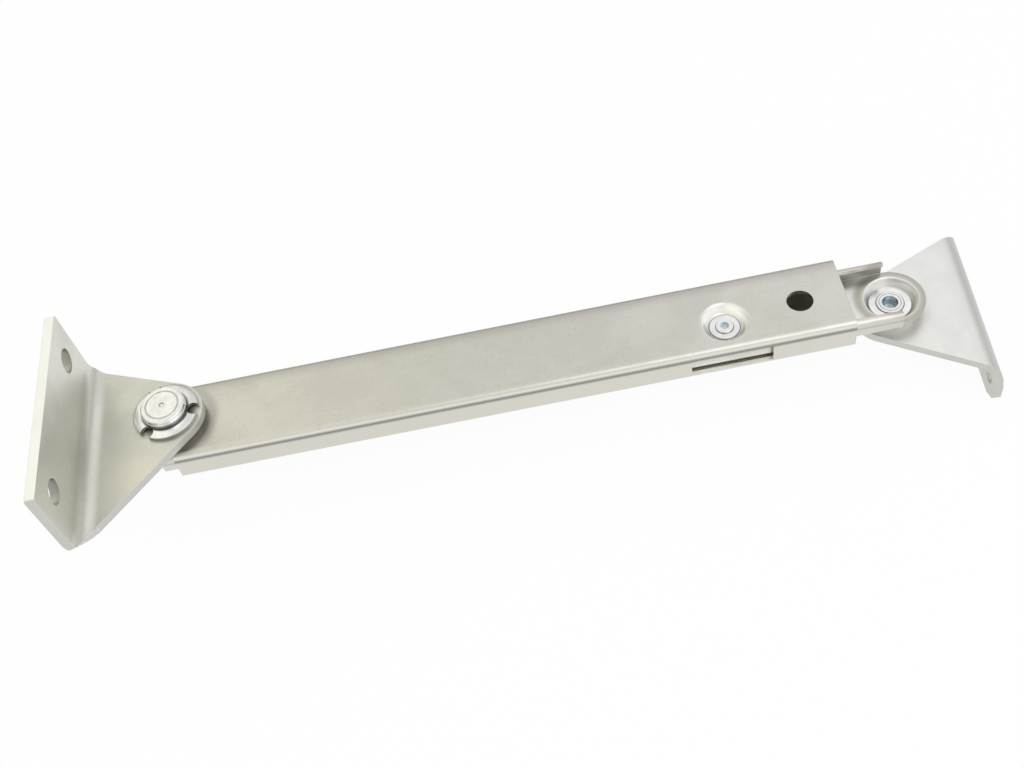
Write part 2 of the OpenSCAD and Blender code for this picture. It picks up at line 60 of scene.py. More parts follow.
# Cosine at which a face counts as looking in a direction, and the fade to each side of it
SQUARE_ON = (0.7, 0.15)
SLANTED = (0.4, 0.15)
BEND = (0.35, 0.35)
DOME = (0.25, 0.25)
HOLE_SIDE = (0.1, 0.6)
# Cosine past which a channel's wall counts as looking inwards
INWARD = -0.5

# All lengths are in metres.
# Painted shade lines beside the folds, and a painted highlight over the outer folds' rounding: height above the
# back or the lips, inset from the sides, half width
OUTER_FOLD = (0.00985, 0.0004, 0.0015)
OUTER_ROUND = (0.0113, 0.0006, 0.0008)
INNER_FOLD = (-0.0026, 0.0004, 0.0008)
# Other places on the channels
# Height above the back of the painted highlight on the window's cut face
WINDOW_FROM_BACK = 0.0022
# Width of the painted shade along the far edge of the outer channel's web
FAR_BAND = 0.0068
INNER_WEB_FROM_LIPS = 0.0058
INNER_WEB_DEPTH = 0.0004
FLANGE_SIDE = 0.0105
# Painted shade in the corner under the inner channel's far lip: distance from the middle, half width
FAR_CORNER = (0.0117, 0.0065)
# Rings round the pivots and the pawl's rivet, painted as shade, as light or as a darker, warmer tone: radius, half
# width
BOSS_FOOT = (0.0143, 0.0030)
PAWL_WALL = (0.0070, 0.0020)
PAWL_CORNER = (0.00525, 0.0004)
HOOD_FLOOR = (0.0150, 0.0050)
HOOD_RIM = (0.0111, 0.0024)
HOOD_WALL = (0.0084, 0.0016)
HOOD_CORNER = (0.0073, 0.0004)
UNDER_LIP = (0.0185, 0.0070)
BODY_COLLAR = (0.0079, 0.0004)
BODY_GROOVE = (0.0056, 0.0004)
BODY_PIP = (0.0008, 0.0004)
UNDER_BODY_HEAD = (0.00785, 0.0009)
LOCK_RIM = (0.0114, 0.0005)
UNDER_PAWL_HEAD = (0.0030, 0.0004)
UNDER_HOOD_ROLL = (0.0047, 0.0004)
ROLL_RING = (0.0037, 0.0002)
HOOD_HOLLOW_RING = (0.0022, 0.0008)
# Hollows in the rivets' ends: radius, depth
PAWL_HOLLOW = (0.00155, 0.0012)
HOOD_HOLLOW = (0.00275, 0.0032)
# Notches in the lock washer: distance from the pivot, angles in degrees, radius of painted shade
# on their walls, and radius of painted shade on the bracket under them, shifted towards the pivot
NOTCH_AT = 0.00983
NOTCH_ANGLES = (-128.0, -8.0, 112.0)
NOTCH_WALL = 0.0023
NOTCH_FLOOR = 0.0030
NOTCH_FLOOR_SHIFT = 0.0011
# Painted pool of warm light on the body bracket: its middle from the pivot, and its radius
GLOW_PLACE = (-0.0080, -0.0260)
GLOW_RADIUS = 0.0240
# Other places on the brackets
HOLE_EDGE = 0.0001
# Width of the painted shade beside the hood bracket's bend
HOOD_BEND_BAND = 0.0110

# Finish of each kind of piece: scale of the patches, share of streaks, and where it differs from
# the other pieces, height of the grain and share of pits
CHANNEL_LOOK = {"patch": 55.0, "streak": 0.45}
BODY_LOOK = {"patch": 60.0, "streak": 0.25}
HOOD_LOOK = {"patch": 70.0, "streak": 0.2, "bump": 0.12, "pits": 0.08}
RIVET_LOOK = {"patch": 260.0, "streak": 0.0, "pits": 0.04}
SPRING_LOOK = {"patch": 400.0, "streak": 0.0}
# Zinc plate of every kind
STREAK_SCALE = 900.0
STREAK_STRETCH = (0.05, 1.0, 1.0)
GRAIN_SCALE = 2600.0
GRAIN_DEPTH = 0.0002
PIT_SCALE = 1100.0
PATCH_RANGE = (0.36, 0.66)
PIT_RANGE = (0.62, 0.72)
PIT_DARKER = 0.45
EDGE_BRIGHTER = 1.14
EDGE_REACH = 0.12
EDGE_SAMPLES = 6
ROUGH_SPREAD = 0.10
SPRING_EDGE_PART = 4
# Colour sockets of a Mix node
MIX_BELOW = 6
MIX_ABOVE = 7
MIX_RESULT = 2

# Studio: share of the floor's own glow, places along X, and the camera's fixed values
FLOOR_GLOW = 0.93
FLOOR_MIDDLE = 0.15
SOFTBOX_AIM = 0.13
SENSOR_WIDTH = 36.0
CLIP_START = 0.01
CLIP_END = 50.0
# Tints of the room from left to right: place from 0 to 1, red, green, blue
ROOM_TINTS = (
    (0.22, 1.22, 1.21, 1.09),
    (0.38, 0.97, 0.965, 0.89),
    (0.46, 0.88, 0.88, 0.84),
    (0.55, 1.03, 1.03, 1.02),
    (0.64, 1.08, 1.08, 1.08),
    (0.78, 1.16, 1.16, 1.15),
)
# Directions, as parts of 1, between which the room's light changes
ROOM_ACROSS = (-0.5, 0.5)
ROOM_BEHIND = (0.0, 0.4)
ROOM_LOW = (0.25, 0.55)


bl_info = {
    "name": "Hood Support Finishes",
    "version": (1, 0, 0),
    "blender": (4, 5, 0),
    "location": "3D View > Sidebar > Hood Support",
    "description": "Dresses a telescopic hood support in zinc plate and sets up its studio",
    "category": "Material",
}


# Settings

def colour(label, about, value):
    return bpy.props.FloatVectorProperty(
        name=label, description=about, subtype="COLOR", size=3, min=0.0, max=1.0, default=value)


def share(label, about, value):
    return bpy.props.FloatProperty(
        name=label, description=about, subtype="FACTOR", min=0.0, max=1.0, default=value)


def length(label, about, value):
    return bpy.props.FloatProperty(
        name=label, description=about, subtype="DISTANCE", unit="LENGTH", default=value,
        precision=5)


def strength(label, about, value, unit="NONE"):
    return bpy.props.FloatProperty(
        name=label, description=about, unit=unit, min=0.0, default=value)


def place(label, about, value):
    return bpy.props.FloatVectorProperty(
        name=label, description=about, subtype="TRANSLATION", unit="LENGTH", size=3, default=value)


class HoodSupportFinish(bpy.types.PropertyGroup):
    """Colours and gloss of the zinc plate on each kind of piece, and the tints of its painted shade and highlights
    """

    channel_light: colour(
        "Channel, light", "Clean plate on the channels", (0.70, 0.685, 0.635))
    channel_dark: colour(
        "Channel, dull", "Dull patches on the channels", (0.62, 0.605, 0.555))
    channel_rough: share("Channel roughness", "How satin the channels are", 0.34)
    # Painted tint: faces looking to the front are made yellower and a shade darker, standing in for warm reflected
    # light
    flange: colour(
        "Flange", "Yellower plate on the outer channel's near flange", (0.685, 0.67, 0.60))
    # Painted shade: the outer channel's web is made darker towards its far edge
    far_edge_shade: colour(
        "Far band", "Dull plate along the far edge of the outer channel's web", (0.47, 0.46, 0.43))
    # Painted shade: dark line beside the outer channel's folds
    fold_shade: colour(
        "Fold line", "Dull line that the rolls left beside the folds", (0.27, 0.265, 0.25))
    # Painted highlight over the rounding of the outer channel's folds
    fold_highlight: colour(
        "Fold round", "Rubbed plate over the rounding of the outer channel's folds",
        (0.80, 0.785, 0.74))
    # Painted shade: fainter dark line beside the inner channel's folds
    inner_fold_shade: colour(
        "Inner fold line", "Fainter line beside the inner channel's folds", (0.50, 0.49, 0.46))
    # Painted light: the inner channel's web floor round the recess is made brighter
    inside: colour(
        "Inside", "Clean plate on the inner channel's web before the recess", (0.84, 0.84, 0.83))
    # Painted shade on the inside of the inner channel's flanges and in the corner under its far lip
    shade: colour(
        "Flange's inside", "Oily plate on the inside of the inner channel's flanges",
        (0.32, 0.32, 0.30))
    # Darker, warmer tint in a ring round the hood rivet's recess
    rim: colour(
        "Recess rim", "Warm dull plate round the hood rivet's recess", (0.49, 0.465, 0.42))
    # Painted light on the walls of the pressed recesses
    recess_light: colour("Burnish", "Bright wall of the pressed recesses", (0.94, 0.935, 0.92))
    # Painted shade: round the body pivot's boss, in the body rivet's groove and pip, and on the lock washer's
    # back-right side
    soft_shade: colour(
        "Rub mark", "Dull plate where pieces rub, and in grooves", (0.50, 0.49, 0.455))
    # Painted shade in corners, under rivet heads and washers, in rings on the rolled rivet ends and in the lock
    # washer's notches
    corner_shade: colour("Grime", "Dirt in corners round the rivets", (0.20, 0.195, 0.18))
    # Painted highlight on sheared faces: the window's cut face in the outer channel and the body bracket's free
    # edge
    sheared: colour("Sheared edge", "Bare bright metal on sheared edges", (0.95, 0.945, 0.93))
    # Painted shade on the brackets' faces that look to the front, and on the hood bracket's faces that look left
    cut_side_shade: colour("Cut side", "Dull metal on the brackets' cut sides", (0.60, 0.595, 0.565))
    body_light: colour(
        "Body bracket, light", "Clean plate on the body bracket", (0.715, 0.71, 0.65))
    body_dark: colour(
        "Body bracket, dull", "Dull patches on the body bracket", (0.66, 0.655, 0.60))
    # Painted pool of warm light low on the body bracket's tongue
    body_glow: colour(
        "Body bracket, warm", "Warm clean plate low on the body bracket's tongue",
        (0.80, 0.78, 0.695))
    body_rough: share("Body bracket roughness", "How satin the body bracket is", 0.40)
    # Painted shade on the walls of the body bracket's bolt holes
    hole_shade: colour(
        "Hole wall", "Dull wall of the body bracket's bolt holes", (0.36, 0.35, 0.32))
    hood_light: colour(
        "Hood bracket, light", "Clean plate on the hood bracket", (0.86, 0.858, 0.85))
    hood_dark: colour(
        "Hood bracket, dull", "Dull patches on the hood bracket", (0.81, 0.808, 0.80))
    # Painted shade on the hood bracket's plate beside its bend
    hood_near_bend_shade: colour(
        "Hood bracket, by the bend", "Slightly dull plate beside the hood bracket's bend",
        (0.70, 0.70, 0.69))
    # Painted shade over the outside of the hood bracket's bend
    hood_bend_shade: colour(
        "Hood bracket's bend", "Dull plate over the bend's outside", (0.62, 0.62, 0.605))
    hood_rough: share("Hood bracket roughness", "How matt the hood bracket is", 0.46)
    rivet_light: colour(
        "Rivets, light", "Bright plate on rivets and washers", (0.895, 0.90, 0.905))
    rivet_dark: colour(
        "Rivets, dull", "Dull patches on rivets and washers", (0.80, 0.805, 0.81))
    rivet_rough: share("Rivet roughness", "How bright the rivets are", 0.20)
    passivate: colour(
        "Blue passivate", "Bluish film in the hollows of the rivets", (0.58, 0.65, 0.70))
    # Painted shade low on the wall of the hood rivet's hollow
    hollow_shade: colour(
        "Hollow's wall", "Dark plate low on the wall of the hood rivet's hollow",
        (0.22, 0.25, 0.27))
    spring_light: colour(
        "Spring wire", "Drawn wire of the pawl's spring", (0.46, 0.47, 0.49))
    spring_dark: colour(
        "Spring wire, dull", "Oiled wire of the pawl's spring", (0.30, 0.31, 0.33))
    spring_rough: share("Spring roughness", "How bright the spring wire is", 0.28)
    edge_radius: length(
        "Edge rounding", "Radius at which sharp edges catch the light", 0.00022)


class HoodSupportStudio(bpy.types.PropertyGroup):
    """Floor, lamps and camera"""

    floor_colour: colour("Floor", "Colour of the floor", (0.93, 0.93, 0.93))
    floor_size: length("Floor size", "Half the floor's width", 6.0)
    floor_drop: length("Floor drop", "Room between the lowest piece and the floor", 0.0005)
    wall_height: length("Wall height", "Height of the backdrop round the floor's edge", 0.7)
    sky: strength("Room light", "Strength of the even light of the room", 0.87)
    back_sky: strength(
        "Back light", "Strength of the room's light low down behind the part", 0.40)
    key_power: strength("Softbox power", "Power of the softbox beside the camera", 0.95, "POWER")
    softbox_width: length("Softbox width", "Width of the softbox", 0.7)
    softbox_height: length("Softbox height", "Height of the softbox", 0.55)
    softbox_place: place(
        "Softbox place", "Softbox, seen from the body pivot", (0.46, -0.42, 0.70))
    lens: bpy.props.FloatProperty(
        name="Lens", description="Focal length of the camera", unit="CAMERA", min=1.0,
        default=43.883)
    camera_place: place(
        "Camera place", "Camera, seen from the middle of the body bolts",
        (0.159356, -0.250036, 0.308815))
    camera_turn: bpy.props.FloatVectorProperty(
        name="Camera turn", description="Rotation of the camera about X, Y and Z",
        subtype="EULER", unit="ROTATION", size=3,
        default=(math.radians(36.0669), math.radians(7.9038), math.radians(-7.9882)))


# Shader nodes

def put(tree, value, socket):
    """Link a socket to an input, or write a plain value there"""
    if isinstance(value, bpy.types.NodeSocket):
        tree.links.new(value, socket)
    else:
        socket.default_value = value


def add(tree, kind, settings=None, **values):
    """New node with its settings, and values or sockets for its inputs by name"""
    node = tree.nodes.new(kind)
    for key, value in (settings or {}).items():
        setattr(node, key, value)
    for key, value in values.items():
        put(tree, value, node.inputs[key.replace("_", " ")])
    return node


def calc(tree, operation, *values):
    """Result of a Math node"""
    node = add(tree, "ShaderNodeMath", {"operation": operation})
    for value, socket in zip(values, node.inputs):
        put(tree, value, socket)
    return node.outputs["Value"]


def vector_calc(tree, operation, *values):
    """Result of a Vector Math node: a vector, or a number where the operation gives one"""
    node = add(tree, "ShaderNodeVectorMath", {"operation": operation})
    for value, socket in zip(values, node.inputs):
        put(tree, value, socket)
    return node.outputs["Value" if operation in ("DOT_PRODUCT", "LENGTH") else "Vector"]


def smooth(tree, value, start, end, first=0.0, last=1.0):
    """Number that goes smoothly from first to last as a value goes from start to end"""
    node = add(tree, "ShaderNodeMapRange", {"interpolation_type": "SMOOTHSTEP"}, Value=value,
               From_Min=start, From_Max=end, To_Min=first, To_Max=last)
    return node.outputs["Result"]


def soft_line(tree, offset, half_width):
    """1 where an offset is 0, falling softly to 0 at the half width"""
    return smooth(tree, calc(tree, "ABSOLUTE", offset), 0.0, half_width, 1.0, 0.0)


def noise(tree, where, scale, detail, rough, distortion=0.0):
    node = add(tree, "ShaderNodeTexNoise", Vector=where, Scale=scale, Detail=detail,
               Roughness=rough, Distortion=distortion)
    return node.outputs["Fac"]


def here(tree, kind="Object"):
    """Place on the piece, or another of its coordinates"""
    return add(tree, "ShaderNodeTexCoord").outputs[kind]


def split(tree, vector):
    """X, Y and Z of a vector"""
    return add(tree, "ShaderNodeSeparateXYZ", Vector=vector).outputs


def seen_from(tree, point):
    """Place on the piece, seen from a point"""
    return vector_calc(tree, "SUBTRACT", here(tree), point)


def off_axis(tree, point, square):
    """Distance from the line through a point that the factors in square are square to"""
    return vector_calc(tree, "LENGTH",
                       vector_calc(tree, "MULTIPLY", seen_from(tree, point), square))


def beyond(tree, offset, side):
    """1 outside a distance to either side"""
    return calc(tree, "GREATER_THAN", calc(tree, "ABSOLUTE", offset), side)


def over(tree, below, tint, mask):
    """Colour with a tint over it where a mask is 1"""
    node = add(tree, "ShaderNodeMix", {"data_type": "RGBA"}, Factor=mask)
    put(tree, below, node.inputs[MIX_BELOW])
    put(tree, (*tint, 1.0), node.inputs[MIX_ABOVE])
    return node.outputs[MIX_RESULT]


def blank(owner):
    """Emptied node tree of a material or world"""
    owner.use_nodes = True
    owner.node_tree.nodes.clear()
    return owner.node_tree


# Shader groups

def new_group(name, inputs, outputs):
    """Empty shader group with sockets of the names and types given, and its two ends"""
    tree = bpy.data.node_groups.new(name, "ShaderNodeTree")
    for way, sockets in (("INPUT", inputs), ("OUTPUT", outputs)):
        for label, kind in sockets:
            tree.interface.new_socket(name=label, in_out=way, socket_type=f"NodeSocket{kind}")
    start = tree.nodes.new("NodeGroupInput")
    end = tree.nodes.new("NodeGroupOutput")
    return tree, start.outputs, end.inputs


def zinc_bloom_group(name):
    """Cloudy patches with rolling streaks along X, fine grain and pits of plated sheet"""
    tree, start, end = new_group(
        name, [("Patch Scale", "Float"), ("Streak", "Float")],
        [("Patches", "Float"), ("Grain", "Float"), ("Pits", "Float")])
    where = here(tree)
    cloud = noise(tree, where, start["Patch Scale"], detail=5.0, rough=0.62, distortion=0.4)
    along = add(tree, "ShaderNodeMapping", Vector=where, Scale=STREAK_STRETCH)
    streak = noise(tree, along.outputs["Vector"], STREAK_SCALE, detail=3.0, rough=0.55)
    grain = noise(tree, where, GRAIN_SCALE, detail=2.0, rough=0.5)
    pit = noise(tree, where, PIT_SCALE, detail=1.0, rough=0.4)
    patches = add(tree, "ShaderNodeMix", {"data_type": "FLOAT"}, Factor=start["Streak"],
                  A=smooth(tree, cloud, *PATCH_RANGE), B=streak)
    put(tree, patches.outputs["Result"], end["Patches"])
    put(tree, grain, end["Grain"])
    put(tree, smooth(tree, pit, *PIT_RANGE), end["Pits"])
    return tree


def worn_edge_group(name):
    """Rounded edges: a mask that is 1 on each edge, and a normal that turns over it"""
    tree, start, end = new_group(
        name, [("Radius", "Float")], [("Edge", "Float"), ("Normal", "Vector")])
    bevel = add(tree, "ShaderNodeBevel", {"samples": EDGE_SAMPLES}, Radius=start["Radius"])
    soft = bevel.outputs["Normal"]
    sharp = add(tree, "ShaderNodeNewGeometry").outputs["Normal"]
    turned = calc(tree, "SUBTRACT", 1.0, vector_calc(tree, "DOT_PRODUCT", soft, sharp))
    put(tree, smooth(tree, turned, 0.0, EDGE_REACH), end["Edge"])
    put(tree, soft, end["Normal"])
    return tree


def round_hollow_group(name):
    """Mask that is 1 inside a radius about an upright axis, above the axis's own point"""
    tree, start, end = new_group(
        name, [("Axis", "Vector"), ("Radius", "Float")], [("Mask", "Float")])
    distance = off_axis(tree, start["Axis"], SQUARE_TO_Z)
    inside = calc(tree, "LESS_THAN", distance, start["Radius"])
    height = split(tree, seen_from(tree, start["Axis"]))["Z"]
    above = calc(tree, "GREATER_THAN", height, 0.0)
    put(tree, calc(tree, "MULTIPLY", inside, above), end["Mask"])
    return tree


def ring_line_group(name):
    """Mask of a soft ring about an upright axis"""
    tree, start, end = new_group(
        name, [("Axis", "Vector"), ("Radius", "Float"), ("Half Width", "Float")],
        [("Mask", "Float")])
    distance = off_axis(tree, start["Axis"], SQUARE_TO_Z)
    offset = calc(tree, "SUBTRACT", distance, start["Radius"])
    put(tree, soft_line(tree, offset, start["Half Width"]), end["Mask"])
    return tree


def fold_line_group(name):
    """Mask of a soft line at a level on both sides of a channel, outside a distance from it"""
    tree, start, end = new_group(
        name, [("Axis", "Vector"), ("Side", "Float"), ("Half Width", "Float")],
        [("Mask", "Float")])
    off = split(tree, seen_from(tree, start["Axis"]))
    line = soft_line(tree, off["Z"], start["Half Width"])
    outside = beyond(tree, off["Y"], start["Side"])
    put(tree, calc(tree, "MULTIPLY", outside, line), end["Mask"])
    return tree


def inside_face_group(name):
    """Mask of the faces that look towards a channel's middle, outside a distance from it"""
    tree, start, end = new_group(
        name, [("Axis", "Vector"), ("Side", "Float")], [("Mask", "Float")])
    off = split(tree, seen_from(tree, start["Axis"]))["Y"]
    outward = calc(tree, "MULTIPLY", off, split(tree, here(tree, "Normal"))["Y"])
    limit = calc(tree, "MULTIPLY", start["Side"], INWARD)
    inward = calc(tree, "LESS_THAN", outward, limit)
    outside = beyond(tree, off, start["Side"])
    put(tree, calc(tree, "MULTIPLY", inward, outside), end["Mask"])
    return tree


GROUPS = {
    "Zinc Bloom": zinc_bloom_group,
    "Worn Edge": worn_edge_group,
    "Round Hollow": round_hollow_group,
    "Ring Line": ring_line_group,
    "Fold Line": fold_line_group,
    "Inside Face": inside_face_group,
}


def shared(tree, name, **values):
    """Outputs of a shader group placed in a material; the group is built on its first use"""
    group = bpy.data.node_groups.get(name) or GROUPS[name](name)
    return add(tree, "ShaderNodeGroup", {"node_tree": group}, **values).outputs


# Finish

def zinc_plate(name, plate, patch, streak, bump=0.06, pits=0.15, marks=()):
    """Zinc-plated steel with cloudy patches, fine grain, pits and bright edges

    plate holds the light and dull colours, the roughness and the edges' radius. Each mark is a
    tint and a mask, mostly painted shade or painted highlight, and a later mark covers an earlier one.
    """
    light, dark, rough, radius = plate
    material = bpy.data.materials.new(name)
    tree = blank(material)
    bloom = shared(tree, "Zinc Bloom", Patch_Scale=patch, Streak=streak)
    edges = shared(tree, "Worn Edge", Radius=radius)
    worn = [min(1.0, EDGE_BRIGHTER * part) for part in light]
    dirty = [PIT_DARKER * part for part in dark]
    top = over(tree, (*dark, 1.0), light, bloom["Patches"])
    top = over(tree, top, worn, edges["Edge"])
    top = over(tree, top, dirty, calc(tree, "MULTIPLY", bloom["Pits"], pits))
    for tint, mask in marks:
        top = over(tree, top, tint, mask(tree))
    gloss = add(tree, "ShaderNodeMapRange", Value=bloom["Patches"],
                To_Min=rough + ROUGH_SPREAD / 2, To_Max=rough - ROUGH_SPREAD / 2)
    relief = add(tree, "ShaderNodeBump", Strength=bump, Distance=GRAIN_DEPTH,
                 Height=bloom["Grain"], Normal=edges["Normal"])
    shader = add(tree, "ShaderNodeBsdfPrincipled", Metallic=1.0, Base_Color=top,
                 Roughness=gloss.outputs["Result"], Normal=relief.outputs["Normal"])
    add(tree, "ShaderNodeOutputMaterial", Surface=shader.outputs["BSDF"])
    return material


def dress(material, *nodes):
    """Give the solids this finish"""
    for name in nodes:
        mesh = frame["nodes"][name].data
        mesh.materials.clear()
        mesh.materials.append(material)


# Masks for the marks: each is a function that makes the mask in a material's tree

def masked(group, **values):
    """Mask from one of the shader groups"""
    return lambda tree: shared(tree, group, **values)["Mask"]


def both(first, second):
    """Product of two masks"""
    return lambda tree: calc(tree, "MULTIPLY", first(tree), second(tree))


def facing(direction, limit, fade):
    """Faces that look in a direction"""
    def mask(tree):
        along = vector_calc(tree, "DOT_PRODUCT", here(tree, "Normal"), direction)
        return smooth(tree, along, limit - fade, limit + fade)
    return mask


def top_face(level, depth):
    """Faces that look up within a depth of a level"""
    def near(tree):
        return calc(tree, "COMPARE", split(tree, here(tree))["Z"], level, depth)
    return both(near, facing(UP, *SQUARE_ON))


def band(direction, at, half_width):
    """Soft band square to a direction, at a distance along it"""
    def mask(tree):
        along = vector_calc(tree, "DOT_PRODUCT", here(tree), direction)
        return soft_line(tree, calc(tree, "SUBTRACT", along, at), half_width)
    return mask


def bolt_hole(middle, radius):
    """Wall of a hole along X"""
    return lambda tree: calc(tree, "LESS_THAN", off_axis(tree, middle, SQUARE_TO_X), radius)


def fold(node, base, height, inset, half_width):
    """Line along both folds of a channel, at a height above a base"""
    low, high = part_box(node)
    return masked("Fold Line", Axis=(0.0, BODY_PIVOT.y, base + height),
                  Side=(high.y - low.y) / 2 - inset, Half_Width=half_width)


def axis_of(node):
    """Middle of a round piece, at its top"""
    low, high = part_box(node)
    return ((low.x + high.x) / 2, (low.y + high.y) / 2, high.z)


def ring(node, radius, half_width):
    """Ring about the axis of a round piece"""
    return masked("Ring Line", Axis=axis_of(node), Radius=radius, Half_Width=half_width)


def spot(x, y, radius):
    """Soft round spot"""
    return masked("Ring Line", Axis=(x, y, 0.0), Radius=0.0, Half_Width=radius)


def hollow(node, radius, depth):
    """Hollow in a rivet's end"""
    x, y, top = axis_of(node)
    return masked("Round Hollow", Axis=(x, y, top - depth), Radius=radius)


def rings(tint, node, *sizes):
    """Marks of one tint, a ring of each size about the axis of a round piece"""
    return [(tint, ring(node, *size)) for size in sizes]


def notches(inward):
    """X and Y of the lock washer's notches, moved a little towards the pivot"""
    for angle in NOTCH_ANGLES:
        turn = math.radians(angle)
        yield (BODY_PIVOT.x + (NOTCH_AT - inward) * math.cos(turn),
               BODY_PIVOT.y + (NOTCH_AT - inward) * math.sin(turn))


# Operators

class HOODSUPPORT_OT_channels(bpy.types.Operator):
    """Satin zinc plate on the two channels and the pawl"""
    bl_idname = "hoodsupport.channels"
    bl_label = "Finish Channels"

    def execute(self, context):
        s = context.scene.hood_support_finish
        plate = (s.channel_light, s.channel_dark, s.channel_rough, s.edge_radius)
        for name, node, marks in (
                ("Satin zinc, outer channel", "outer_channel", self.outer_marks(s)),
                ("Satin zinc, inner channel", "inner_channel", self.inner_marks(s)),
                ("Satin zinc", "lock_pawl", [])):
            dress(zinc_plate(name, plate, **CHANNEL_LOOK, marks=marks), node)
        return {"FINISHED"}

    def outer_marks(self, s):
        low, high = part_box("outer_channel")
        return [
            # painted tint standing in for warm reflected light on the front-facing faces
            (s.flange, facing(FRONT, *SQUARE_ON)),
            # painted shade darkening the web towards its far edge
            (s.far_edge_shade, both(band(ACROSS, high.y, FAR_BAND), facing(UP, *SLANTED))),
            # painted highlight on the folds' rounding
            (s.fold_highlight, fold("outer_channel", low.z, *OUTER_ROUND)),
            # painted shade line beside the folds
            (s.fold_shade, fold("outer_channel", low.z, *OUTER_FOLD)),
            # painted shade round the body pivot's boss
            (s.soft_shade, both(ring("body_pivot_rivet", *BOSS_FOOT), facing(UP, *SQUARE_ON))),
            # painted light on the pawl recess's wall
            (s.recess_light, ring("pawl_rivet_washer", *PAWL_WALL)),
            # painted shade in the corner round the pawl washer
            (s.corner_shade, ring("pawl_rivet_washer", *PAWL_CORNER)),
            # painted highlight on the window's cut face
            (s.sheared, top_face(low.z + WINDOW_FROM_BACK, s.edge_radius)),
        ]

    def inner_marks(self, s):
        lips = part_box("inner_channel")[1].z
        web = top_face(lips - INNER_WEB_FROM_LIPS, INNER_WEB_DEPTH)
        corner_at, corner_band = FAR_CORNER
        corner = band(ACROSS, BODY_PIVOT.y + corner_at, corner_band)
        return [
            # painted shade line beside the inner channel's folds
            (s.inner_fold_shade, fold("inner_channel", lips, *INNER_FOLD)),
            # painted light on the web floor round the recess
            (s.inside, both(ring("hood_rivet_washer", *HOOD_FLOOR), web)),
            # darker, warmer tint in a ring round the recess
            (s.rim, ring("hood_rivet_washer", *HOOD_RIM)),
            # painted shade on the flanges' inside faces
            (s.shade, masked("Inside Face", Axis=(0.0, BODY_PIVOT.y, 0.0), Side=FLANGE_SIDE)),
            # painted shade in the corner under the far lip
            (s.shade, both(corner, both(ring("hood_rivet_washer", *UNDER_LIP), web))),
            # painted light on the hood recess's wall
            (s.recess_light, ring("hood_rivet_washer", *HOOD_WALL)),
            # painted shade in the corner round the hood washer
            (s.corner_shade, ring("hood_rivet_washer", *HOOD_CORNER)),
        ]


class HOODSUPPORT_OT_brackets(bpy.types.Operator):
    """Dull zinc plate on the body bracket and pale zinc plate on the hood bracket"""
    bl_idname = "hoodsupport.brackets"
    bl_label = "Finish Brackets"

    def execute(self, context):
        s = context.scene.hood_support_finish
        body = (s.body_light, s.body_dark, s.body_rough, s.edge_radius)
        hood = (s.hood_light, s.hood_dark, s.hood_rough, s.edge_radius)
        dress(zinc_plate("Dull zinc", body, **BODY_LOOK, marks=self.body_marks(s)),
              "body_bracket")
        dress(zinc_plate("Pale zinc", hood, **HOOD_LOOK, marks=self.hood_marks(s)),
              "hood_bracket")
        return {"FINISHED"}

    def body_marks(self, s):
        bolts = MOUNTS["body_bolts"]["dims"]
        spacing = bolts["spacing_x_mm"] / MM_PER_M
        radius = bolts["hole_r_mm"] / MM_PER_M + HOLE_EDGE
        holes = [bolt_hole((0.0, side * spacing / 2, 0.0), radius) for side in (-1, 1)]
        glow_x, glow_y = GLOW_PLACE
        glow = spot(BODY_PIVOT.x + glow_x, BODY_PIVOT.y + glow_y, GLOW_RADIUS)
        return [
            # painted shade on the bracket under the lock washer's notches
            *((s.corner_shade, spot(x, y, NOTCH_FLOOR)) for x, y in notches(NOTCH_FLOOR_SHIFT)),
            # painted pool of warm light on the up-facing plate
            (s.body_glow, both(glow, facing(UP, *SQUARE_ON))),
            # painted shade on the faces that look to the front
            (s.cut_side_shade, facing(FRONT, *SLANTED)),
            # painted shade on the bolt holes' walls
            *((s.hole_shade, both(hole, facing(FRONT, *HOLE_SIDE))) for hole in holes),
            # painted highlight on the bracket's free edge
            (s.sheared, top_face(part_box("body_bracket")[1].z, s.edge_radius)),
        ]

    def hood_marks(self, s):
        face = MOUNTS["hood_face"]
        outward = tuple(face["axis"])
        end = Vector(face["pos_m"]).dot(Vector(outward))
        return [
            # painted shade beside the bend
            (s.hood_near_bend_shade, both(band(outward, end, HOOD_BEND_BAND), facing(UP, *SLANTED))),
            # painted shade over the bend's outside
            (s.hood_bend_shade, facing(RIGHT, *BEND)),
            # painted shade on the faces that look to the front and to the left
            (s.cut_side_shade, facing(FRONT, *SLANTED)),
            (s.cut_side_shade, facing(LEFT, *SQUARE_ON)),
        ]


